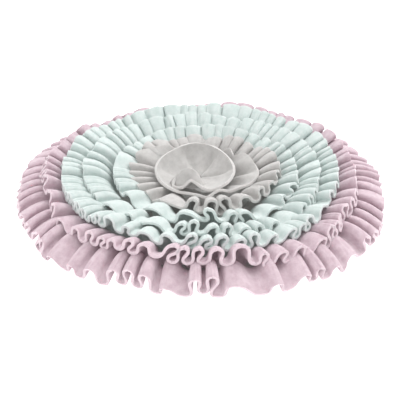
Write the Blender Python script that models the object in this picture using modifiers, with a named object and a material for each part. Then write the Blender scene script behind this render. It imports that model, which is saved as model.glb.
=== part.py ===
"""Round snuffle mat: gathered fleece strips sewn in rings on a cloth disc, with a spiral rosette in the middle.

Metres, +Z up. The origin is the centre of the disc's underside, and the mat's front faces -Y.
"""

import math
import random
from collections import namedtuple

import bpy

MM = 0.001

# Driving dimensions
FLEECE = 3.2 * MM  # thickness of the fleece
BASE_RADIUS = 176 * MM
BASE_THICKNESS = 3.0 * MM
BASE_SIDES = 96
SEAM_AMPLITUDE = 0.1  # share of a fold's height left where the strip is gathered into its seam
FLOOR_CLEARANCE = 0.4 * MM

# Shares of a fold's width: the trough, the rising wall, the crest and the falling wall
FLAT_SHARE = 0.30
WALL_SHARE = 0.20
MOST_LEAN = 0.05  # share by which one wall may be wider than the other
FOLD_SPREAD = 0.18  # spread of the folds' widths, as a share
FOLD_WIDTHS = (0.74, 1.5)  # narrowest and widest of the ordinary folds, as a share
FOLD_HEIGHTS = (0.7, 0.97)  # least and most share of the stated fold height
EDGE_SWAY = 1.4 * MM  # slow wandering of the edge, in and out
EDGE_SWAYS = 5  # number of waves it is made of
SLOWEST_SWAY = 2  # times the slowest of them goes round
MIDDLE_SHARE = 0.5  # share of the way out at which a bent strip's middle lies
CREASE_ANGLE = 40  # degrees past which an edge shows as a crease

PINK = "D7B9C6"
MINT = "D0E2DD"
GREY = "CBCAC9"
BASE_GREY = "E6E2E0"

Ruffle = namedtuple(
    "Ruffle",
    "name colour centre_x centre_y seam_radius seam_height middle_radius middle_height"
    " edge_radius edge_height back_swell folds fold_height seed",
)
# One row for each closed ring, from the floor up, in millimetres. A ring with no middle is straight across,
# and back_swell pushes its edge out at the back on the +X side and draws it in on the other.
RUFFLES = (
    Ruffle("ruffle_pink_outer", PINK, 0, 4, 172, 6.6, 196, 13.5, 218, 10.2, 20, 72, 16.0, 11),
    Ruffle("ruffle_pink_inner", PINK, 0, 0, 154, 6.5, 0, 0, 189, 38.0, 15, 68, 15.0, 12),
    Ruffle("ruffle_mint_outer", MINT, 0, 0, 131, 6.5, 0, 0, 165.5, 42.0, 10, 62, 15.0, 13),
    Ruffle("ruffle_mint_middle", MINT, 1.5, -1, 107, 6.5, 0, 0, 141, 41.5, 5, 54, 15.0, 14),
    Ruffle("ruffle_mint_inner", MINT, 6, -4, 77, 6.5, 0, 0, 109.5, 41.0, 0, 42, 14.0, 15),
)

WideFold = namedtuple("WideFold", "ruffle azimuth times")
# Broad smooth lobes, where the cloth was gathered less
WIDE_FOLDS = (
    WideFold("ruffle_pink_outer", -97, 1.9),
    WideFold("ruffle_pink_outer", -71, 1.8),
    WideFold("ruffle_pink_outer", -121, 1.4),
    WideFold("ruffle_pink_inner", -84, 1.5),
    WideFold("ruffle_mint_middle", 176, 1.7),
    WideFold("ruffle_mint_middle", 188, 1.5),
    WideFold("ruffle_mint_inner", 172, 1.7),
    WideFold("ruffle_mint_inner", 186, 1.6),
)

# The grey strip starts in the middle of the mat and winds outwards, counter-clockwise from above
ROSETTE_CENTRE = (-7 * MM, -14 * MM)
GATHER_CENTRE = (-3 * MM, -6 * MM)
FOOT_HEIGHT = 5.4 * MM

Section = namedtuple(
    "Section", "azimuth edge_radius edge_height gather_radius gather_height"
)
# One row for each section or fold: degrees about the rosette, then millimetres
ROSETTE = (
    Section(-76, 19, 44, 3.0, 27),  # the folded end that stands up in the cup
    Section(-118, 20, 56, 3.0, 27),
    Section(-134, 33, 38, 6.0, 24),
    Section(-114, 38, 39, 8.5, 22),
    Section(-98, 34, 45, 9.0, 22),  # hump of the inner lip
    Section(-80, 38, 41, 9.0, 22),
    Section(-67, 45, 38, 9.0, 22),
    Section(-41, 49, 42, 9.0, 22),
    Section(-20, 48, 44, 9.0, 22),
    Section(0, 47, 46, 9.0, 22),
    Section(24, 45, 50, 9.0, 22),
    Section(48, 44, 52, 9.5, 22),
    Section(70, 44.5, 54, 9.5, 22),
    Section(92, 44.5, 54, 10, 22),
    Section(112, 43, 53, 10, 22),
    Section(132, 43, 52, 10, 22),
    Section(152, 45, 49, 10.5, 22),
    Section(172, 47, 47, 11, 21),
    Section(190, 48, 45, 11.5, 20),
    Section(208, 48, 41, 12, 19),
    Section(226, 47, 38, 13, 18),
    Section(244, 46, 36.5, 14, 17),
    Section(262, 45.5, 35.5, 15, 16),
    Section(276, 48, 33, 16, 15),
    Section(287, 52, 31, 17, 14),  # dip of the front lip
    Section(298, 50, 36, 18, 14),
    Section(307, 50.5, 39, 19, 13),
    Section(318, 56, 34.5, 21, 12),  # the broad right-hand petal
    Section(331, 62, 34, 22, 12),
    Section(345, 70, 36, 23, 12),
    Section(356, 76, 38.5, 24, 12),
    Section(367, 76, 41, 25, 12),
    Section(380, 72.5, 43, 26, 12),
    Section(391, 69, 45, 26, 12),
    Section(399, 62, 39, 27, 12),  # low folds behind the cup
    Section(411, 66, 45, 27, 12),
    Section(422, 61, 38, 28, 12),
    Section(436, 67, 45, 29, 12),
    Section(448, 63, 39, 29, 12),
    Section(462, 68, 45, 30, 12),
    Section(473, 65, 40, 31, 12),
    Section(482, 69, 46, 32, 12),  # the left-hand petal and the pleat under it
    Section(500, 72, 45, 33, 12),
    Section(517, 79, 45, 34, 12),
    Section(521, 76, 37, 35, 12),
    Section(529, 82, 41, 36, 12),
    Section(535, 77, 32, 37, 12),
    Section(541, 78, 38, 38, 11.5),
    Section(547, 74, 32, 39, 11.5),
    Section(553, 77, 39, 40, 11),
    Section(560, 73, 31.5, 41, 11),
    Section(567, 75, 39, 42, 11),
    Section(575, 71, 31.5, 43, 11),
    Section(584, 74, 39, 44, 11),
    Section(593, 71, 31.5, 45, 11),
    Section(601, 76, 38, 46, 11),
)
# The rest of the strip is a ring of even gathers that ends under the left-hand petal
GREY_RING = Ruffle("ruffle_grey", GREY, 4, -4, 54, 11, 0, 0, 89.5, 43.5, 0, 22, 11.5, 16)
GREY_RING_START = 252
GREY_RING_END = 508


def srgb_to_linear(hex_colour):
    """A base colour from the hex number seen on screen."""
    channels = [int(hex_colour[i : i + 2], 16) / 255 for i in (0, 2, 4)]
    linear = [c / 12.92 if c <= 0.04045 else ((c + 0.055) / 1.055) ** 2.4 for c in channels]
    return (*linear, 1.0)


def make_material(name, hex_colour, roughness):
    material = bpy.data.materials.new(name)
    material.use_nodes = True
    shader = material.node_tree.nodes["Principled BSDF"]
    shader.inputs["Base Color"].default_value = srgb_to_linear(hex_colour)
    shader.inputs["Roughness"].default_value = roughness
    shader.inputs["Metallic"].default_value = 0.0
    return material


def fold_rows(ruffle, start, sweep):
    """(azimuth, displacement, sway) of the four corners of each fold, displacement in metres."""
    rng = random.Random(ruffle.seed)
    narrowest, widest = FOLD_WIDTHS
    widths = []
    for _ in range(ruffle.folds):
        widths.append(min(widest, max(narrowest, rng.gauss(1, FOLD_SPREAD))))
    for wide in WIDE_FOLDS:
        if wide.ruffle == ruffle.name:
            share = (math.radians(wide.azimuth) - start) % math.tau / sweep
            widths[int(share * ruffle.folds) % ruffle.folds] = wide.times
    scale = sweep / sum(widths)
    phases = [rng.uniform(0, math.tau) for _ in range(EDGE_SWAYS)]
    half_height = ruffle.fold_height * MM / 2
    rows = []
    azimuth = start
    for width in widths:
        lean = rng.uniform(-MOST_LEAN, MOST_LEAN)
        trough = -half_height * rng.uniform(*FOLD_HEIGHTS)
        crest = half_height * rng.uniform(*FOLD_HEIGHTS)
        shares = (FLAT_SHARE, WALL_SHARE + lean, FLAT_SHARE, WALL_SHARE - lean)
        for share, height in zip(shares, (trough, trough, crest, crest)):
            sway = 0
            for i in range(EDGE_SWAYS):
                sway += math.sin((i + SLOWEST_SWAY) * azimuth + phases[i])
            swell = ruffle.back_swell * MM * math.cos(azimuth) * max(0, math.sin(azimuth)) ** 2
            rows.append((azimuth, height, EDGE_SWAY * sway / EDGE_SWAYS + swell))
            azimuth += share * width * scale
    return rows


def profile_of(ruffle):
    """(share of the way out, radius, height) of each row of points from the seam to the edge."""
    seam = (0.0, ruffle.seam_radius * MM, ruffle.seam_height * MM)
    edge = (1.0, ruffle.edge_radius * MM, ruffle.edge_height * MM)
    if not ruffle.middle_radius:
        return [seam, edge]
    middle = (MIDDLE_SHARE, ruffle.middle_radius * MM, ruffle.middle_height * MM)
    return [seam, middle, edge]


def ruffle_columns(ruffle, start=0.0, sweep=math.tau):
    """The gathered strip as a list of columns of points, each running from the seam to the edge."""
    profile = profile_of(ruffle)
    out = profile[-1][1] - profile[0][1]
    up = profile[-1][2] - profile[0][2]
    length = math.hypot(out, up)
    columns = []
    for azimuth, height, sway in fold_rows(ruffle, start, sweep):
        column = []
        for share, radius, level in profile:
            amplitude = height * (SEAM_AMPLITUDE + (1 - SEAM_AMPLITUDE) * share)
            radius = radius + sway * share - amplitude * up / length
            level = max(level + amplitude * out / length, FLEECE / 2 + FLOOR_CLEARANCE)
            x = ruffle.centre_x * MM + radius * math.cos(azimuth)
            y = ruffle.centre_y * MM + radius * math.sin(azimuth)
            column.append((x, y, level))
        columns.append(column)
    return columns


def polar_point(centre, azimuth, radius, height):
    x = centre[0] + radius * math.cos(azimuth)
    y = centre[1] + radius * math.sin(azimuth)
    return (x, y, height)


def grey_columns():
    """The grey strip: the rosette's sections, then the gathered ring, each from its foot to its edge."""
    columns = []
    for section in ROSETTE:
        azimuth = math.radians(section.azimuth)
        gather_radius = section.gather_radius * MM
        columns.append(
            [
                polar_point(GATHER_CENTRE, azimuth, gather_radius, FOOT_HEIGHT),
                polar_point(GATHER_CENTRE, azimuth, gather_radius, section.gather_height * MM),
                polar_point(
                    ROSETTE_CENTRE, azimuth, section.edge_radius * MM, section.edge_height * MM
                ),
            ]
        )
    start = math.radians(GREY_RING_START)
    sweep = math.radians(GREY_RING_END - GREY_RING_START)
    for column in ruffle_columns(GREY_RING, start, sweep):
        x, y, _ = column[0]
        columns.append([(x, y, FOOT_HEIGHT), *column])
    return columns


def strip_object(name, columns, closed, material, collection):
    """An open sheet lofted through the columns, given the fleece's thickness both ways."""
    rows = len(columns[0])
    points = [point for column in columns for point in column]
    count = len(columns)
    faces = []
    for i in range(count if closed else count - 1):
        here = i * rows
        beside = (i + 1) % count * rows
        for j in range(rows - 1):
            faces.append((here + j, here + j + 1, beside + j + 1, beside + j))
    mesh = bpy.data.meshes.new(name)
    mesh.from_pydata(points, [], faces)
    mesh.materials.append(material)
    mesh.shade_smooth()
    mesh.set_sharp_from_angle(angle=math.radians(CREASE_ANGLE))
    strip = bpy.data.objects.new(name, mesh)
    collection.objects.link(strip)
    solidify = strip.modifiers.new("fleece", "SOLIDIFY")
    solidify.thickness = FLEECE
    solidify.offset = 0.0
    solidify.use_even_offset = True
    solidify.use_quality_normals = True
    return strip


def base_object(material, collection):
    """The plain disc that the strips are sewn to, flat on the floor."""
    bpy.ops.mesh.primitive_cylinder_add(
        vertices=BASE_SIDES,
        radius=BASE_RADIUS,
        depth=BASE_THICKNESS,
        location=(0, 0, BASE_THICKNESS / 2),
    )
    base = bpy.context.object
    base.name = "base_cloth"
    base.data.name = "base_cloth"
    base.data.materials.append(material)
    for owner in list(base.users_collection):
        owner.objects.unlink(base)
    collection.objects.link(base)
    return base


def clear_scene():
    for obj in list(bpy.data.objects):
        bpy.data.objects.remove(obj, do_unlink=True)


def main():
    clear_scene()
    collection = bpy.data.collections.new("snuffle_mat")
    bpy.context.scene.collection.children.link(collection)
    fleeces = {
        PINK: make_material("pink_fleece", PINK, 0.95),
        MINT: make_material("mint_fleece", MINT, 0.95),
        GREY: make_material("grey_fleece", GREY, 0.95),
    }
    base_object(make_material("base_cloth", BASE_GREY, 0.9), collection)
    for ruffle in RUFFLES:
        columns = ruffle_columns(ruffle)
        strip_object(ruffle.name, columns, True, fleeces[ruffle.colour], collection)
    strip_object(GREY_RING.name, grey_columns(), False, fleeces[GREY], collection)


main()
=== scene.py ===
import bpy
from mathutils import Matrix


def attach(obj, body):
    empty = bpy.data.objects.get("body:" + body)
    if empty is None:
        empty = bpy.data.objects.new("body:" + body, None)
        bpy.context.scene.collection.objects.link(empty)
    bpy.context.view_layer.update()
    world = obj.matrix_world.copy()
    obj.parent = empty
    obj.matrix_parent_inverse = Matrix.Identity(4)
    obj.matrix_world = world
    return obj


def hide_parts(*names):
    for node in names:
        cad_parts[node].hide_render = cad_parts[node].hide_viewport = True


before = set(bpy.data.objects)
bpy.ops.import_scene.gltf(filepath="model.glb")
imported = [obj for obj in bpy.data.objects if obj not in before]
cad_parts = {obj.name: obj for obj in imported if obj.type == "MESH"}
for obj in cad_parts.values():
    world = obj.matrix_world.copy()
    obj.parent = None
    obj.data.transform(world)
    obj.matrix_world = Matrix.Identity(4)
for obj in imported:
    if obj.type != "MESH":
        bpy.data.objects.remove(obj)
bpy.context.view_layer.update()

import math
import random

import bpy
import numpy as np
from mathutils import Matrix, Vector

mm = 0.001
print("frame loaded")


def deselectAll():
    for obj in bpy.context.selected_objects:
        obj.select_set(False)


def makeActive(obj):
    deselectAll()
    obj.select_set(True)
    bpy.context.view_layer.objects.active = obj


def toLinear(hexColour):
    channels = [int(hexColour[i:i + 2], 16) / 255 for i in (0, 2, 4)]
    linear = [c / 12.92 if c <= 0.04045 else ((c + 0.055) / 1.055) ** 2.4 for c in channels]
    return (*linear, 1.0)


def addNode(tree, kind, settings=None, links=None):
    node = tree.nodes.new(kind)
    for name, value in (settings or {}).items():
        if isinstance(name, int) or name in node.inputs:
            node.inputs[name].default_value = value
        else:
            setattr(node, name, value)
    for name, output in (links or {}).items():
        tree.links.new(output, node.inputs[name])
    return node


# at the photograph's angle
camera = {
    "elevation": 31.2,  # degrees above the floor
    "roll": 1.4,
    "distance": 1.32,
    "lens": 96.2,
    "sensor": 36,
    "farthest": 50,
    "target": (0.0, 0.0, -0.004),
}


def makeCamera(settings):
    data = bpy.data.cameras.new("photoCamera")
    data.lens = settings["lens"]
    data.sensor_width = settings["sensor"]
    data.clip_end = settings["farthest"]
    obj = bpy.data.objects.new("photoCamera", data)
    bpy.context.scene.collection.objects.link(obj)
    up = math.radians(settings["elevation"])
    back = settings["distance"]
    target = Vector(settings["target"])
    obj.location = target + Vector((0, -back * math.cos(up), back * math.sin(up)))
    look = (target - obj.location).to_track_quat("-Z", "Y")
    obj.rotation_euler = look.to_euler()
    obj.rotation_euler.rotate_axis("Z", math.radians(settings["roll"]))
    bpy.context.scene.camera = obj


makeCamera(camera)
print("camera placed")


# white ground and soft, nearly shadowless light
studio = {
    "floorSize": 6.0,
    "floorColour": "D8D8D8",
    "floorGlow": 0.9,
    "skyStrength": 0.9,
    "keyStrength": 48.0,
    "keySize": 1.6,
    "keyPlace": (1.0, 0.9, 2.3),
    "fillStrength": 17.0,
    "fillSize": 2.4,
    "fillPlace": (-1.4, -1.8, 1.5),
    "exposure": 0.0,
}


def makeStudio(settings):
    deselectAll()
    bpy.ops.mesh.primitive_plane_add(size=settings["floorSize"], location=(0, 0, 0))
    floor = bpy.context.object
    floor.name = "floor"
    paper = bpy.data.materials.new("whitePaperSweep")  # matte seamless paper: white, no gloss
    paper.use_nodes = True
    shader = paper.node_tree.nodes["Principled BSDF"]
    shader.inputs["Base Color"].default_value = toLinear(settings["floorColour"])
    shader.inputs["Roughness"].default_value = 0.9
    shader.inputs["Specular IOR Level"].default_value = 0.1
    shader.inputs["Emission Color"].default_value = (1.0, 1.0, 1.0, 1.0)
    shader.inputs["Emission Strength"].default_value = settings["floorGlow"]
    floor.data.materials.append(paper)

    world = bpy.data.worlds.new("softStudio")
    bpy.context.scene.world = world
    world.use_nodes = True
    background = world.node_tree.nodes["Background"]
    background.inputs["Color"].default_value = (1.0, 1.0, 1.0, 1.0)
    background.inputs["Strength"].default_value = settings["skyStrength"]

    for name in ("key", "fill"):
        data = bpy.data.lights.new(name + "Softbox", "AREA")
        data.energy = settings[name + "Strength"]
        data.size = settings[name + "Size"]
        lamp = bpy.data.objects.new(name + "Softbox", data)
        bpy.context.scene.collection.objects.link(lamp)
        lamp.location = settings[name + "Place"]
        lamp.rotation_euler = (-lamp.location).to_track_quat("-Z", "Y").to_euler()

    view = bpy.context.scene.view_settings
    view.view_transform = "Standard"
    view.exposure = settings["exposure"]


makeStudio(studio)
print("floor and lights placed")


# Polyester fleece, brushed and sheared: matte, with a short matted nap; its cut edges get a lighter
# colour, a painted highlight where they catch the light
fleece = {
    "pink": {"colour": "C9B7BE", "deep": "B9A3AC", "cutEdge": "CEBEC4"},
    "mint": {"colour": "C8D0CE", "deep": "BAC6C3", "cutEdge": "D0D8D6"},
    "grey": {"colour": "BBB9B7", "deep": "AEACAA", "cutEdge": "C4C2C0"},
}
nap = {
    "tuft": 1.1 * mm,  # coarser than real fibres, so that it shows
    "mottle": 7 * mm,
    "tuftShare": 0.55,
    "ramp": (0.55, 0.95),
    "depth": 0.35 * mm,
    "glow": 0.5,  # some light comes through the cloth
    "glowDepth": 3 * mm,
    "paintedBounceGlow": 0.06,  # painted glow in the cloth's own colour, standing in for light passed on between the folds
}


def makeFleece(name, colours, cutEdge=False):
    material = bpy.data.materials.new(name + ("FleeceCutEdge" if cutEdge else "FleeceNap"))
    material.use_nodes = True
    tree = material.node_tree
    shader = tree.nodes["Principled BSDF"]
    place = addNode(tree, "ShaderNodeTexCoord")
    tuft = addNode(tree, "ShaderNodeTexNoise",
                   {"Scale": 1 / nap["tuft"], "Detail": 3.0, "Roughness": 0.6},
                   {"Vector": place.outputs["Object"]})
    mottle = addNode(tree, "ShaderNodeTexNoise",
                     {"Scale": 1 / nap["mottle"], "Detail": 2.0, "Roughness": 0.55},
                     {"Vector": place.outputs["Object"]})
    mixed = addNode(tree, "ShaderNodeMath", {"operation": "MULTIPLY_ADD", 1: nap["tuftShare"]},
                    {0: tuft.outputs["Fac"], 2: mottle.outputs["Fac"]})
    ramp = addNode(tree, "ShaderNodeValToRGB", None, {"Fac": mixed.outputs["Value"]})
    ramp.color_ramp.elements[0].position = nap["ramp"][0]
    ramp.color_ramp.elements[1].position = nap["ramp"][1]
    # on the cut edge the colour runs lighter, up to the cutEdge colour: a painted highlight
    light = colours["cutEdge"] if cutEdge else colours["colour"]
    dark = colours["colour"] if cutEdge else colours["deep"]
    ramp.color_ramp.elements[0].color = toLinear(dark)
    ramp.color_ramp.elements[1].color = toLinear(light)
    bump = addNode(tree, "ShaderNodeBump", {"Strength": 0.5, "Distance": nap["depth"]},
                   {"Height": tuft.outputs["Fac"]})
    tree.links.new(ramp.outputs["Color"], shader.inputs["Base Color"])
    tree.links.new(bump.outputs["Normal"], shader.inputs["Normal"])
    shader.inputs["Roughness"].default_value = 0.95
    shader.inputs["Specular IOR Level"].default_value = 0.2
    shader.inputs["Sheen Weight"].default_value = 0.12
    shader.inputs["Sheen Roughness"].default_value = 0.6
    shader.inputs["Subsurface Weight"].default_value = nap["glow"]
    shader.inputs["Subsurface Radius"].default_value = (1.0, 0.9, 0.9)
    shader.inputs["Subsurface Scale"].default_value = nap["glowDepth"]
    # the cloth glows faintly in its own colour: painted light that lifts the shade between the
    # folds
    tree.links.new(ramp.outputs["Color"], shader.inputs["Emission Color"])
    shader.inputs["Emission Strength"].default_value = nap["paintedBounceGlow"]
    return material


materials = {}
for shade, colours in fleece.items():
    materials[shade] = makeFleece(shade, colours)
    materials[shade + "CutEdge"] = makeFleece(shade, colours, cutEdge=True)


cloth = {
    "thickness": 3.3 * mm,
    "cutRounding": 0.7 * mm,
    "cutSegments": 2,
    "cutAngle": 60,
    "overFloor": 0.3 * mm,
    "landing": 3 * mm,  # the height over which the cloth levels out on the floor
}
# lengths are in mm; the rest are counts, powers and shares, most of a fold's width
gather = {
    "troughShare": 0.30,  # as in the solids
    "wallShare": 0.20,
    "mostLean": 0.05,
    "spread": 0.18,  # how uneven the folds' widths are
    "narrowest": 0.74,
    "widest": 1.5,
    "heights": (0.7, 0.97),
    "sway": 1.4 * mm,
    "sways": 5,
    "rows": (0.0, 0.16, 0.3, 0.4, 0.5, 0.6, 0.7, 0.8, 0.88, 0.95, 1.0),
    "wallSteps": 10,
    "crestSteps": 4,
    "measuredRow": -4,  # the strip's length is taken here, inside the edge, which stretches
    "seamGather": 0.45,  # how deep the folds are at the seam, as a share of the edge's
    "fullFront": 1.2,
    "shallower": 0.3,  # at the back
    "wideShallower": 0.25,  # wide folds are lower, by this power
    "uneven": (0.6, 1.25),
    "powers": (1.2, 2.2),  # how late the folds open out on their way up the strip
    "foldDraws": 500,  # added to a ring's seed for the shapes of its folds
    "rise": 1.8 * mm,
    "backRiseMore": 0.5,
    "pinch": 1.0 * mm,  # how far the folds' loops close up at their necks
    "pinchBack": 0.2,
    "roomFrom": 14 * mm,  # a fold narrower than this can't loop
    "roomOver": 5 * mm,
    "mostRoom": 1.6,
    "bed": 0.12,
    "leastBed": 0.04,
    "bedUneven": (0.3, 1.7),
    "flatFront": 0.12,  # share of a fold that is the level top of its crest
    "flatBack": 0.62,
    "flatUneven": (0.6, 1.3),
    "crown": 0.6 * mm,
    "backCrown": 1.6 * mm,
    "crownUneven": (0.3, 1.5),
    "crownSeam": 0.4,
    "bedCrown": 0.6,
    "tilt": 0.8 * mm,
    "sideTilt": 2.0 * mm,  # how much the side folds' front edges stand over the next fold
    "slant": 2.2 * mm,
    # how far each pleat steps out past the next round the back corners
    "stairs": {"pink": 12.0 * mm, "mint": 8.5 * mm, "grey": 8.5 * mm},
    "stairsUneven": (0.4, 1.4),
    "stairsTurn": 0.35,
    "stepFrom": 0.68,
    "stagger": 1.5 * mm,
    "skew": 0.3,
    "droop": 0.22,
    "fall": 0.3,
    "fallUneven": (0.3, 1.5),
    "fallStray": 0.3,
    "wander": 1.6 * mm,
    "reach": 1.6 * mm,
    "drift": 0.022,  # radians
}
# the slow swells along a ring: what is added to its seed, how many waves, and the slowest
swells = {"drift": (700, 7, 5), "wander": (900, 7, 4), "reach": (800, 8, 5)}
# how the share of an azimuth that faces the camera falls off from front to back
facing = {"side": 0.5, "slope": 0.95, "power": 1.5}
# the listed folds: shares of the way to the next fold, and of the usual pinch
placing = {
    "bed": 0.1,
    "flat": 0.1,
    "pinch": 0.4,
    "power": 1.6,
    "outerPower": 2.2,  # for the outermost ring
    "seam": (0.5, 0.4),
    "outerSeam": (0.7, 0.7),
    "margin": 0.5,
}

# where a strip's bend is, by degrees round: shares of its run out and of its rise
springs = {
    "pink": ((0, 0.34, 0.8), (90, 0.46, 0.66), (180, 0.34, 0.8), (215, 0.27, 0.88),
             (230, 0.26, 0.9), (300, 0.26, 0.9), (330, 0.28, 0.87)),
    "mint": ((0, 0.3, 0.85), (60, 0.42, 0.7), (120, 0.42, 0.7), (160, 0.2, 0.94),
             (185, 0.13, 1.02), (246, 0.1, 1.05), (256, 0.26, 0.9), (300, 0.26, 0.9),
             (330, 0.28, 0.87)),
}
springs["grey"] = springs["mint"]

# one row for each ring, from the outermost in; lengths in millimetres
ringColumns = ("node", "shade", "centreX", "centreY", "seamRadius", "seamHeight", "middleRadius",
               "middleHeight", "edgeRadius", "edgeHeight", "backSwell", "frontDraw", "backRise",
               "fullBack", "folds", "foldHeight", "seed")
ringRows = (
    ("ruffle_pink_outer", "pink", 0, 1, 172, 6.6, 189, 22, 218, 10.6, 22, 6, -12, 0.6, 62, 18.5,
     11),
    ("ruffle_pink_inner", "pink", 0, 0, 154, 6.5, 0, 0, 190, 37.5, 15, 3, -6, 0.74, 58, 16.0, 12),
    ("ruffle_mint_outer", "mint", 0, 0, 131, 6.5, 0, 0, 167.5, 42.5, 10, 0, 0, 0.74, 62, 15.5, 13),
    ("ruffle_mint_middle", "mint", 1, -1, 107, 6.5, 0, 0, 144, 42.5, 5, 0, -4, 0.74, 54, 15.5, 14),
    ("ruffle_mint_inner", "mint", 6, -4, 77, 6.5, 0, 0, 111, 41.5, 0, 0, 0, 0.74, 42, 15.0, 15),
)
# how far the outermost ring's edge lies out past a true circle, degrees round and millimetres
outerSwell = ((0, 4), (20, 3), (32, 7), (48, 6), (62, -1), (76, -8), (92, -4), (112, -10),
              (125, -6), (143, 3), (156, 8), (170, 5), (185, 4), (205, 4), (217, 5), (230, 0),
              (316, 2), (326, 9), (345, 7))
wideFolds = (  # ring, degrees round from +X, times the usual width
    ("ruffle_pink_outer", -97, 2.4), ("ruffle_pink_outer", -71, 2.1),
    ("ruffle_pink_outer", -121, 1.4), ("ruffle_pink_inner", -84, 1.5),
    ("ruffle_mint_middle", 176, 1.7), ("ruffle_mint_middle", 188, 1.5),
    ("ruffle_mint_inner", 172, 1.7), ("ruffle_mint_inner", 186, 1.6),
)
# the folds that show best, at the front and left: degrees of the trough and of the crest after
# it, then the edge's radius there, the trough's height and the crest's, in millimetres
placedFolds = {
    "ruffle_pink_outer": (
        (-139.3, -137.4, 226, 2, 8), (-130.9, -129.1, 222, 2, 11), (-125.5, -122.4, 222, 2, 16),
        (-118.0, -115.6, 219, 2, 20), (-113.1, -111.3, 209, 3, 22), (-108.0, -106.2, 209, 4, 21),
        (-101.9, -99.8, 211, 2, 9), (-93.4, -90.8, 211, 2, 22), (-88.5, -85.7, 209, 6, 26),
        (-84.2, -79.5, 211, 2, 15), (-71.0, -66.5, 215, 2, 12), (-63.9, -57.0, 218, 2, 13),
        (-54.8, -52.1, 216, 2, 16), (-50.9, -46.7, 221, 2, 12), (-43.9, -39.9, 225, 2, 9),
    ),
    "ruffle_pink_inner": (
        (-147.4, -143.4, 195, 23, 35), (-138.2, -135.2, 194, 26, 38), (-131.8, -128.5, 193, 26, 42),
        (-126.9, -123.6, 192, 29, 41), (-122.9, -119.9, 191, 29, 42), (-117.4, -113.4, 190, 34, 48),
        (-112.3, -108.4, 189, 33, 46), (-104.6, -98.1, 188, 34, 50), (-98.7, -94.8, 188, 30, 48),
        (-93.7, -89.9, 188, 30, 48), (-88.7, -83.8, 188, 31, 48), (-81.0, -76.1, 190, 30, 51),
        (-71.3, -68.3, 192, 28, 39), (-67.4, -61.5, 193, 23, 36), (-60.4, -54.8, 194, 23, 36),
        (-52.5, -45.4, 195, 23, 34), (-43.7, -41.3, 196, 20, 44), (-39.4, -38.0, 196, 27, 44),
        (-35.2, -32.8, 196, 30, 45),
    ),
    "ruffle_mint_outer": (
        (-168.5, -166.8, 168, 35, 46), (-165.1, -163.6, 169, 36, 48), (-162.0, -160.4, 170, 33, 46),
        (-158.9, -157.1, 170, 36, 49), (-155.6, -154.1, 171, 34, 46), (-152.6, -150.8, 171, 35, 50),
        (-149.3, -147.6, 171, 33, 46), (-145.9, -143.9, 171, 34, 49), (-142.0, -140.0, 171, 33, 46),
        (-137.9, -135.8, 171, 34, 42), (-134.3, -131.8, 170, 37, 50), (-130.0, -126.2, 170, 38, 54),
        (-121.4, -118.4, 169, 39, 49), (-116.2, -111.0, 168, 40, 47), (-105.4, -102.7, 168, 38, 49),
        (-97.4, -92.3, 168, 41, 52), (-92.9, -86.5, 168, 35, 48), (-86.4, -80.8, 168, 36, 50),
        (-79.5, -74.0, 168, 34, 45), (-71.6, -69.1, 169, 34, 50), (-66.0, -60.8, 170, 34, 43),
        (-59.3, -52.2, 170, 32, 43), (-51.5, -47.3, 171, 31, 44), (-45.5, -44.2, 172, 35, 50),
        (-39.0, -32.9, 172, 37, 46),
    ),
    "ruffle_mint_middle": (
        (-168.0, -165.4, 143, 38, 45), (-163.4, -161.2, 144, 38, 47), (-159.4, -157.6, 144, 36, 45),
        (-155.9, -153.4, 144, 37, 47), (-151.2, -148.6, 144, 36, 45),
        (-145.0, -136.8, 143, 35, 46), (-128.6, -123.8, 143, 38, 47), (-120.2, -111.0, 143, 40, 45),
        (-103.9, -98.1, 143, 37, 50), (-97.1, -92.8, 143, 38, 54), (-90.0, -83.5, 143, 39, 48),
        (-81.2, -77.3, 143, 39, 48), (-74.8, -69.3, 143, 35, 43), (-65.6, -62.9, 144, 33, 43),
        (-59.0, -54.9, 145, 32, 42), (-50.9, -42.7, 146, 30, 38), (-39.1, -35.0, 146, 30, 44),
    ),
    "ruffle_mint_inner": (
        (-178.0, -174.6, 111, 38, 45), (-171.5, -168.6, 112, 37, 46), (-165.6, -161.6, 112, 36, 44),
        (-158.6, -155.6, 112, 36, 45), (-152.1, -143.6, 112, 35, 44), (-134.9, -122.1, 112, 33, 41),
        (-110.7, -102.3, 111, 32, 46), (-89.9, -88.4, 111, 39, 52), (-79.4, -73.0, 111, 37, 46),
        (-69.5, -66.8, 111, 31, 45), (-55.4, -46.2, 112, 31, 38), (-37.5, -33.7, 113, 33, 45),
    ),
    "ruffle_grey": (
        (-106.6, -97.7, 89, 39, 51), (-93.1, -83.8, 89, 36, 51), (-76.7, -74.5, 89, 32, 53),
        (-64.6, -57.9, 89, 36, 49), (-45.8, -41.1, 89, 38, 52), (-33.7, -26.7, 89, 38, 50),
    ),
}

# A gathered fold is an elastic curve: its slope swings as a sine along the cloth, so that one
# number, the widest swing, says how far it rises for how far it goes round, up to loops that
# lean back.
swings = np.linspace(0.02, 2.7, 400)
along = np.linspace(0, math.pi, 361)
advances = np.array([np.trapz(np.cos(a * np.sin(along)), along) / math.pi for a in swings])
rises = np.array([np.trapz(np.sin(a * np.sin(along)), along) / math.pi for a in swings])
slopes = advances / rises


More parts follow.
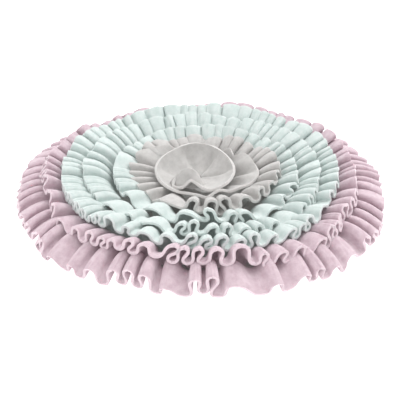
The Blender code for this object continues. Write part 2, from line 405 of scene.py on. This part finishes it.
# the run and rise of each wall in, the x and y of its points out, walls by steps
def elasticWalls(across, up, steps):
    rise = np.maximum(np.abs(up), 1e-6)
    swing = np.interp(-(across / rise), -slopes, swings)
    fine = 6
    s = np.linspace(0, 1, steps * fine + 1)
    angle = swing[:, None] * np.sin(math.pi * s)[None, :]
    dx = np.cos(angle)
    dy = np.sin(angle)
    start = np.zeros((len(rise), 1))
    x = np.concatenate([start, np.cumsum((dx[:, 1:] + dx[:, :-1]) / 2, axis=1)], axis=1)
    y = np.concatenate([start, np.cumsum((dy[:, 1:] + dy[:, :-1]) / 2, axis=1)], axis=1)
    y = y / y[:, -1:] * up[:, None]
    length = rise / np.interp(swing, swings, rises)
    x = x / (steps * fine) * length[:, None]
    x = x + (across - x[:, -1])[:, None] * s[None, :]
    return x[:, ::fine], y[:, ::fine]


def foldTable(ring, start=0.0, sweep=math.tau):
    rng = random.Random(ring["seed"])
    widths = [min(gather["widest"], max(gather["narrowest"], rng.gauss(1, gather["spread"])))
              for _ in range(ring["folds"])]
    for node, degrees, times in wideFolds:
        if node == ring["node"]:
            share = (math.radians(degrees) - start) % math.tau / sweep
            widths[int(share * ring["folds"]) % ring["folds"]] = times
    scale = sweep / sum(widths)
    phases = [rng.uniform(0, math.tau) for _ in range(gather["sways"])]
    table = []
    azimuth = start
    for width in widths:
        fold = {"azimuth": azimuth, "width": width * scale}
        fold["lean"] = rng.uniform(-gather["mostLean"], gather["mostLean"])
        fold["trough"] = rng.uniform(*gather["heights"])
        fold["crest"] = rng.uniform(*gather["heights"])
        table.append(fold)
        azimuth += width * scale
    return table, phases


# a slow uneven swell round the ring, mostly between -2 and 2
def smoothNoise(azimuths, ring, kind):
    more, waves, slowest = swells[kind]
    rng = random.Random(ring["seed"] + more)
    total = np.zeros_like(azimuths)
    for i in range(waves):
        wave = np.sin((i + slowest) * azimuths + rng.uniform(0, math.tau))
        total = total + math.sqrt(2 / waves) * wave
    return total


# how much an azimuth faces the camera, from 1 in front to 0 at the back
def frontShare(azimuth):
    share = np.clip(facing["side"] - facing["slope"] * np.sin(azimuth), 0, 1)
    return share ** facing["power"]


# radius and height of the strip's middle line a share t of the way from seam to edge, and the
# direction out and up in which its folds stand off it; without an azimuth, at the front right
def ringProfile(ring, t, azimuth=math.radians(-40)):
    bends = np.array(springs[ring["shade"]])
    seam = ring["seamRadius"] * mm, ring["seamHeight"] * mm
    edge = ring["edgeRadius"] * mm, ring["edgeHeight"] * mm
    middle = ring["middleRadius"] * mm, ring["middleHeight"] * mm
    place = []
    run = []
    for i in (0, 1):
        if ring["middleRadius"]:
            bend = 2 * middle[i] - (seam[i] + edge[i]) / 2
            run.append(np.full_like(azimuth, (edge[i] - seam[i]) / 2))
        else:  # springs up from the seam, then leans out over the ring below
            turn = np.degrees(azimuth) % 360
            spring = np.interp(turn, bends[:, 0], bends[:, i + 1], period=360)
            bend = seam[i] + spring * (edge[i] - seam[i])
            run.append((bend - seam[i]) * (1 - t) + (edge[i] - bend) * t)
        place.append((1 - t) ** 2 * seam[i] + 2 * t * (1 - t) * bend + t * t * edge[i])
    length = np.hypot(run[0], run[1])
    return place[0], place[1], -run[1] / length, run[0] / length


# puts the listed folds in the place of the drawn ones
def placeFolds(ring, fold, start):
    rows = placedFolds.get(ring["node"], ())
    fold["placed"] = np.zeros(len(fold["troughAt"]))
    if not rows:
        return fold
    rows = np.array(rows, dtype=float)
    first = start + (np.radians(rows[0, 0]) - start) % math.tau
    turned = first + np.radians(rows - rows[0, 0])
    troughAt, crestAt = turned[:, 0], turned[:, 1]
    apart = np.diff(np.append(troughAt, 2 * crestAt[-1] - troughAt[-1]))
    up = ringProfile(ring, 1.0, (troughAt + crestAt) / 2)[3]
    edge = ring["edgeHeight"]
    new = {name: np.zeros(len(rows)) for name in fold}
    new.update({
        "troughAt": troughAt,
        "crestAt": crestAt,
        "bed": placing["bed"] * apart,
        "flat": placing["flat"] * apart,
        "low": (rows[:, 3] - edge) * mm / up,
        "high": (rows[:, 4] - edge) * mm / up,
        "pinch": np.full(len(rows), placing["pinch"] * gather["pinch"]),
        "crown": np.full(len(rows), gather["crown"]),
        "power": np.full(len(rows), placing["outerPower" if ring["middleRadius"] else "power"]),
        "reach": (rows[:, 2] - ring["edgeRadius"]) * mm,
        "placed": np.ones(len(rows)),
    })
    shares = placing["outerSeam" if ring["middleRadius"] else "seam"]
    new["seamLow"] = np.full(len(rows), -shares[0] * ring["foldHeight"] * mm / 2)
    new["seamHigh"] = np.full(len(rows), shares[1] * ring["foldHeight"] * mm / 2)
    margin = placing["margin"] * np.mean(apart)
    gone = (fold["crestAt"] > troughAt[0] - margin) & (fold["troughAt"] < crestAt[-1] + margin)
    at = int(np.argmax(gone))
    for name in fold:
        kept = fold[name][~gone]
        fold[name] = np.concatenate([kept[:at], new[name], kept[at:]])
    return fold


def ringGrid(ring, start=0.0, sweep=math.tau):
    table, phases = foldTable(ring, start, sweep)
    rng = random.Random(ring["seed"] + gather["foldDraws"])
    closed = sweep >= math.tau

    def each(low, high):
        return np.array([rng.uniform(low, high) for _ in table])

    az = np.array([f["azimuth"] for f in table])
    width = np.array([f["width"] for f in table])
    half = ring["foldHeight"] * mm / 2
    # crests are broad, flat and lower at the sides and back, and round at the front
    front = frontShare(az + width / 2)
    full = half * (ring["fullBack"] * (1 - front) + gather["fullFront"] * front)
    full = full * (np.mean(width) / width) ** gather["wideShallower"]
    behind = np.maximum(0, np.sin(az + width / 2)) ** 2
    full = full * (1 - gather["shallower"] * behind)
    room = (width * ring["edgeRadius"] * mm - gather["roomFrom"]) / gather["roomOver"]
    room = np.clip(room, 0, gather["mostRoom"])
    level = gather["flatBack"] * (1 - front) + gather["flatFront"] * front
    corners = np.maximum(0, np.sin(az + gather["stairsTurn"] * np.cos(az))) * np.cos(az)
    fold = {
        "troughAt": az + gather["troughShare"] / 2 * width,
        "crestAt": az + (gather["troughShare"] * 1.5 + gather["wallShare"]) * width
                   + np.array([f["lean"] for f in table]) * width,
        "low": -full * np.array([f["trough"] for f in table]) * each(*gather["uneven"]),
        "high": full * np.array([f["crest"] for f in table]) * each(*gather["uneven"]),
        "flat": width * level * each(*gather["flatUneven"]),
        "bed": width * (gather["leastBed"] + gather["bed"] * front) * each(*gather["bedUneven"]),
        "pinch": (gather["pinchBack"] + (1 - gather["pinchBack"]) * front) * each(0.1, 1) * room
                 * gather["pinch"],
        "droop": width * each(-0.5, 0.5) * gather["droop"],
        "tilt": each(-1, 1) * gather["tilt"] - np.cos(az) * gather["sideTilt"],
        "skew": each(-gather["skew"], gather["skew"]) * width,
        "power": each(*gather["powers"]),
        "rise": each(-1, 1) * gather["rise"] * (1 + gather["backRiseMore"] * behind),
        "crown": gather["crown"] + gather["backCrown"] * behind * each(*gather["crownUneven"]),
        # folds fall over towards the front on both sides, some more than others
        "fall": -gather["fall"] * np.cos(az) * each(*gather["fallUneven"])
                + each(-gather["fallStray"], gather["fallStray"]),
        "reach": each(-1, 1) * gather["stagger"],
        "slant": each(-1, 1) * gather["slant"]
                 + each(*gather["stairsUneven"]) * gather["stairs"][ring["shade"]] * corners,
    }
    fold["seamLow"] = gather["seamGather"] * fold["low"]
    fold["seamHigh"] = gather["seamGather"] * fold["high"]
    fold = placeFolds(ring, fold, start)

    def eased(name, ease):
        after = np.append(fold[name][1:], fold[name][0] if closed else fold[name][-1])
        return fold[name][:, None] * (1 - ease) + after[:, None] * ease

    stations = [ringProfile(ring, t)[:2] for t in gather["rows"]]
    length = sum(math.dist(stations[i], stations[i + 1]) for i in range(len(stations) - 1))
    grid = []
    developed = []
    for t in gather["rows"]:
        radius = ringProfile(ring, t)[0]
        grow = t ** fold["power"]
        troughAt = fold["troughAt"] + (1 - t) * fold["skew"]
        crestAt = fold["crestAt"] + (1 - t) * fold["skew"]
        spread = fold["flat"] * (0.5 + 0.5 * t)
        leftAt, rightAt = crestAt - spread / 2, crestAt + spread / 2
        bedLeftAt, bedRightAt = troughAt - fold["bed"] / 2, troughAt + fold["bed"] / 2
        low = fold["seamLow"] * (1 - grow) + fold["low"] * grow
        high = fold["seamHigh"] * (1 - grow) + fold["high"] * grow
        left, right = high - fold["tilt"] * t, high + fold["tilt"] * t
        nextBedAt = np.append(bedLeftAt[1:], bedLeftAt[0] + sweep)
        nextLow = np.append(low[1:], low[0])
        x1, y1 = elasticWalls((leftAt - bedRightAt) * radius, left - low, gather["wallSteps"])
        x2, y2 = elasticWalls((nextBedAt - rightAt) * radius, nextLow - right, gather["wallSteps"])
        bulge = np.sin(2 * math.pi * np.linspace(0, 1, gather["wallSteps"] + 1)) * t * t
        x1 = x1 + fold["pinch"][:, None] * bulge
        x2 = x2 + np.append(fold["pinch"][1:], fold["pinch"][0])[:, None] * bulge
        s = np.linspace(0, 1, gather["crestSteps"] + 1)
        opened = gather["crownSeam"] + (1 - gather["crownSeam"]) * grow[:, None]
        crown = fold["crown"][:, None] * np.sin(math.pi * s)[None, :] * opened
        flatX = (rightAt - leftAt)[:, None] * radius * s
        flatY = (right - left)[:, None] * s + crown
        bedX = (bedRightAt - bedLeftAt)[:, None] * radius * s
        x = np.concatenate([bedLeftAt[:, None] * radius + bedX[:, :-1],
                            bedRightAt[:, None] * radius + x1[:, :-1],
                            leftAt[:, None] * radius + flatX[:, :-1],
                            rightAt[:, None] * radius + x2[:, :-1]], axis=1)
        y = np.concatenate([low[:, None] - crown[:, :-1] * gather["bedCrown"],
                            low[:, None] + y1[:, :-1],
                            left[:, None] + flatY[:, :-1],
                            right[:, None] + y2[:, :-1]], axis=1)
        # the fall of a fold, eased from one fold to the next so that the cloth stays whole
        ease = np.linspace(0, 1, x.shape[1], endpoint=False)[None, :]
        lift = y - np.minimum(low, nextLow)[:, None]
        x = x + eased("fall", ease) * lift * t
        x = x + fold["droop"][:, None] * radius * np.sin(math.pi * ease) ** 2 * t * t
        placed = eased("placed", ease).ravel()
        lifted = eased("rise", ease).ravel()
        # each fold's edge slants out from one side to the other, then steps back in the trough
        turned = gather["stepFrom"]
        saw = np.where(ease < turned, ease / turned, (1 - ease) / (1 - turned)) - 0.5
        foldReach = (eased("reach", ease) + fold["slant"][:, None] * saw).ravel()
        x = x.ravel()
        y = y.ravel()
        developed.append(float(np.sum(np.hypot(np.diff(x), np.diff(y)))))
        phi = x / radius
        free = 1 - placed
        phi = phi + gather["drift"] * smoothNoise(phi, ring, "drift") * free
        sway = sum(np.sin((i + 2) * phi + phases[i]) for i in range(gather["sways"]))
        sway = gather["sway"] * (sway / gather["sways"])
        swell = ring["backSwell"] * mm * np.cos(phi) * np.maximum(0, np.sin(phi)) ** 2
        wander = gather["wander"] * smoothNoise(phi, ring, "wander") * free
        reach = gather["reach"] * smoothNoise(phi, ring, "reach") * free
        draw = ring["frontDraw"] * mm * np.maximum(0, -np.sin(phi)) ** 2
        if ring["middleRadius"]:
            places = np.array(outerSwell, dtype=float)
            turn = np.degrees(phi) % 360
            swell = swell + np.interp(turn, places[:, 0], places[:, 1], period=360) * mm
        backRise = ring["backRise"] * mm * np.maximum(0, np.sin(phi)) ** 2
        around, height, out, up = ringProfile(ring, t, phi)
        r = around + ((sway + swell - draw) * free + foldReach) * t + reach * t ** 1.5 + y * out
        rising = t * (2 - t) if ring["middleRadius"] else t * t
        z = height + y * up + wander * t ** 1.5 + backRise * rising + lifted * t * t
        # the cloth levels out where it would go through the floor
        lowest = cloth["thickness"] / 2 + cloth["overFloor"]
        landing = cloth["landing"]
        over = z - lowest
        z = lowest + np.where(over > landing, over, landing * np.exp(over / landing - 1))
        grid.append(np.stack([ring["centreX"] * mm + r * np.cos(phi),
                              ring["centreY"] * mm + r * np.sin(phi), z], axis=1))
    return np.array(grid), length, developed[gather["measuredRow"]]


def sheetFromGrid(name, grid, closed, shade):
    rows, count = grid.shape[0], grid.shape[1]
    points = grid.reshape(-1, 3)
    faces = []
    for j in range(rows - 1):
        for i in range(count if closed else count - 1):
            beside = (i + 1) % count
            faces.append((j * count + i, (j + 1) * count + i,
                          (j + 1) * count + beside, j * count + beside))
    mesh = bpy.data.meshes.new(name)
    mesh.from_pydata(points.tolist(), [], faces)
    mesh.materials.append(materials[shade])
    mesh.materials.append(materials[shade + "CutEdge"])
    mesh.validate()
    piece = bpy.data.objects.new(name, mesh)
    bpy.context.scene.collection.objects.link(piece)
    makeActive(piece)
    thicken = piece.modifiers.new("thickness", "SOLIDIFY")
    thicken.thickness = cloth["thickness"]
    thicken.offset = 0
    # the rim faces take the second material, the cut edge's painted highlight
    thicken.material_offset_rim = 1
    bpy.ops.object.modifier_apply(modifier="thickness")
    soften = piece.modifiers.new("cutEdge", "BEVEL")
    soften.width = cloth["cutRounding"]
    soften.segments = cloth["cutSegments"]
    soften.limit_method = "ANGLE"
    soften.angle_limit = math.radians(cloth["cutAngle"])
    bpy.ops.object.modifier_apply(modifier="cutEdge")
    bpy.ops.object.shade_smooth()
    return piece


for row in ringRows:
    ring = dict(zip(ringColumns, row))
    grid, width, developed = ringGrid(ring)
    piece = sheetFromGrid(ring["node"] + "_fleece", grid, True, ring["shade"])
    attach(piece, "root")
    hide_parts(ring["node"])
    print(ring["node"], "made:", len(piece.data.polygons), "faces, strip", round(width, 3), "x",
          round(developed, 2))


# the grey strip: a rosette round a cup, then a gathered ring
rosette = {
    "centre": (-6.5 * mm, -9.5 * mm),
    "gatherCentre": (-2 * mm, 1 * mm),
    "steps": 9,  # columns from one section to the next
    "ringStart": 252,
    "ringEnd": 508,
}
rosetteColumns = ("azimuth", "edgeRadius", "edgeHeight", "gatherRadius", "gatherHeight",
                  "bowlOut", "bowlUp")
# one row for each section or fold: degrees about the rosette, then millimetres, then how far the
# profile bellies out before it rises
rosetteRows = (
    (-76, 10, 43, 27, 32, 0.5, 0.6),  # the folded end that stands up in the cup
    (-96, 13, 50, 36, 33, 0.5, 0.6),
    (-122, 16, 54, 41, 34, 0.5, 0.6),
    (-144, 26, 45, 41, 34, 0.5, 0.6),
    (-134, 37, 36, 38, 29, 0.5, 0.5),
    (-114, 38, 39, 12, 27, 0.6, 0.4),
    (-98, 34, 48.5, 5, 26, 0.6, 0.4),  # hump of the inner lip
    (-80, 38, 42.5, 3.5, 26, 0.6, 0.4),
    (-67, 45, 40.5, 3.5, 26, 0.65, 0.35),
    (-41, 48, 43.5, 3.5, 26, 0.7, 0.3),
    (-20, 47.5, 46, 3.5, 26, 0.74, 0.27),
    (-4, 47, 47, 3.5, 26, 0.68, 0.30),
    (8, 46, 48.5, 3.5, 26, 0.88, 0.10),  # creases run down the cup to its middle
    (24, 45, 51, 3.5, 27, 0.70, 0.30),
    (44, 44, 54, 3.5, 27, 0.72, 0.30),
    (56, 44, 55.5, 3.5, 27, 0.90, 0.10),
    (70, 44.5, 56.5, 3.5, 27, 0.72, 0.30),
    (92, 44.5, 57, 3.5, 27, 0.74, 0.26),
    (108, 43.5, 56, 3.5, 27, 0.90, 0.10),
    (124, 43, 54, 3.5, 27, 0.72, 0.30),
    (152, 45, 50.5, 4, 26, 0.75, 0.22),
    (172, 47, 47.5, 5, 25, 0.84, 0.14),
    (190, 48, 45, 6, 23, 0.7, 0.3),
    (208, 48, 41.5, 8, 21, 0.7, 0.3),
    (226, 47, 39, 10, 19, 0.65, 0.35),
    (244, 46, 37.5, 13, 17, 0.6, 0.4),
    (262, 45.5, 37.5, 15, 16, 0.6, 0.4),
    (276, 48, 37, 16, 15, 0.6, 0.4),
    (287, 52, 35.5, 17, 14, 0.55, 0.45),  # dip of the front lip
    (298, 50, 39, 18, 14, 0.55, 0.45),
    (307, 50.5, 40.5, 19, 13, 0.55, 0.45),
    (318, 56, 37.5, 21, 12, 0.5, 0.55),  # the broad right-hand petal
    (331, 62, 38, 22, 12, 0.4, 0.75),
    (343, 69, 38, 23, 12, 0.6, 0.5),
    (355, 76, 41.5, 24, 12, 0.35, 0.85),
    (366, 76, 42.5, 25, 12, 0.62, 0.45),
    (380, 72.5, 47, 26, 12, 0.4, 0.8),
    (391, 69, 49, 26, 12, 0.5, 0.6),
    (399, 62, 43, 27, 12, 0.5, 0.5),  # low folds behind the cup
    (411, 66, 47, 27, 12, 0.5, 0.5),
    (422, 61, 39, 28, 12, 0.5, 0.5),
    (436, 67, 45, 29, 12, 0.5, 0.5),
    (448, 63, 39, 29, 12, 0.5, 0.5),
    (462, 68, 45, 30, 12, 0.5, 0.5),
    (473, 65, 40, 31, 12, 0.5, 0.5),
    (482, 69, 46, 32, 12, 0.5, 0.55),  # the left-hand petal and the pleat under it
    (500, 73, 46, 33, 12, 0.4, 0.7),
    (517, 80, 47, 34, 12, 0.4, 0.75),
    (520, 75, 33, 27, 13, 0.3, 0.5),
    (531, 82, 43, 27.7, 13, 0.2, 0.85),
    (534, 76, 31, 28.2, 13, 0.3, 0.6),
    (543, 80, 41, 28.8, 13, 0.2, 0.85),
    (546, 74, 30, 29.3, 13, 0.3, 0.6),
    (555, 79, 41, 29.8, 13, 0.2, 0.85),
    (558, 73, 29, 30.4, 13, 0.3, 0.6),
    (568, 77, 41, 31, 13, 0.2, 0.85),
    (571, 71, 29, 31.7, 13, 0.3, 0.6),
    (582, 76, 41, 32.5, 13, 0.2, 0.85),
    (585, 71, 29, 33.3, 13, 0.3, 0.6),
    (598, 76, 39, 34, 13, 0.2, 0.8),
)
greyRing = dict(zip(ringColumns, ("ruffle_grey", "grey", 4, -4, 54, 11, 0, 0, 89.5, 45.5, 0, 1, -8,
                                  0.95, 22, 16, 16)))


# a smooth curve through the points, its knots spaced by how far apart they are
def smoothThrough(points, steps):
    p = np.vstack([2 * points[0] - points[1], points, 2 * points[-1] - points[-2]])
    gaps = np.linalg.norm(np.diff(p[:, :3], axis=0), axis=1)
    knots = np.concatenate([[0], np.cumsum(gaps ** 0.5 + 1e-6)])
    curve = []
    for i in range(1, len(p) - 2):
        t0, t1, t2, t3 = knots[i - 1:i + 3]
        for t in np.linspace(t1, t2, steps, endpoint=False):
            a1 = (t1 - t) / (t1 - t0) * p[i - 1] + (t - t0) / (t1 - t0) * p[i]
            a2 = (t2 - t) / (t2 - t1) * p[i] + (t - t1) / (t2 - t1) * p[i + 1]
            a3 = (t3 - t) / (t3 - t2) * p[i + 1] + (t - t2) / (t3 - t2) * p[i + 2]
            b1 = (t2 - t) / (t2 - t0) * a1 + (t - t0) / (t2 - t0) * a2
            b2 = (t3 - t) / (t3 - t1) * a2 + (t - t1) / (t3 - t1) * a3
            curve.append((t2 - t) / (t2 - t1) * b1 + (t - t1) / (t2 - t1) * b2)
    curve.append(p[-2])
    return np.array(curve)


def rosetteGrid(settings):
    keys = []
    for row in rosetteRows:
        section = dict(zip(rosetteColumns, row))
        turn = math.radians(section["azimuth"])
        cos, sin = math.cos(turn), math.sin(turn)
        edge, root = section["edgeRadius"] * mm, section["gatherRadius"] * mm
        keys.append((settings["centre"][0] + edge * cos, settings["centre"][1] + edge * sin,
                     section["edgeHeight"] * mm,
                     settings["gatherCentre"][0] + root * cos,
                     settings["gatherCentre"][1] + root * sin,
                     section["gatherHeight"] * mm, section["bowlOut"], section["bowlUp"]))
    path = smoothThrough(np.array(keys), settings["steps"])
    edge, root, bowl = path[:, :3], path[:, 3:6], path[:, 6:]
    belly = root + (edge - root) * np.stack([bowl[:, 0], bowl[:, 0], bowl[:, 1]], axis=1)
    grid = []
    for t in gather["rows"]:
        grid.append((1 - t) ** 2 * root + 2 * t * (1 - t) * belly + t * t * edge)
    return np.array(grid)


ringPart, width, developed = ringGrid(greyRing, math.radians(rosette["ringStart"]),
                                      math.radians(rosette["ringEnd"] - rosette["ringStart"]))
rosettePart = rosetteGrid(rosette)
grid = np.concatenate([rosettePart, ringPart], axis=1)
piece = sheetFromGrid("ruffle_grey_fleece", grid, False, "grey")
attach(piece, "root")
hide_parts("ruffle_grey")


# hidden under the rings
baseCloth = {"radius": 175 * mm, "thickness": 2.6 * mm, "overFloor": 0.2 * mm, "sides": 128,
             "rounding": 0.8 * mm}
# Plain brushed cloth the strips are sewn to; its colour is not shown, so it is a quiet grey
materials["base"] = makeFleece("base", {"colour": "B9B8B6", "deep": "ABAAA8", "cutEdge": "C0BFBD"})


def makeBase(settings):
    deselectAll()
    bpy.ops.mesh.primitive_cylinder_add(vertices=settings["sides"], radius=settings["radius"],
                                        depth=settings["thickness"], location=(0, 0, 0))
    disc = bpy.context.object
    disc.name = "base_cloth_disc"
    middle = settings["thickness"] / 2 + settings["overFloor"]
    disc.data.transform(Matrix.Translation((0, 0, middle)))
    disc.data.materials.append(materials["base"])
    soften = disc.modifiers.new("cutEdge", "BEVEL")
    soften.width = settings["rounding"]
    soften.segments = 2
    bpy.ops.object.modifier_apply(modifier="cutEdge")
    bpy.ops.object.shade_smooth_by_angle(angle=math.radians(50))
    return disc


disc = makeBase(baseCloth)
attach(disc, "root")
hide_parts("base_cloth")
print("base cloth made")
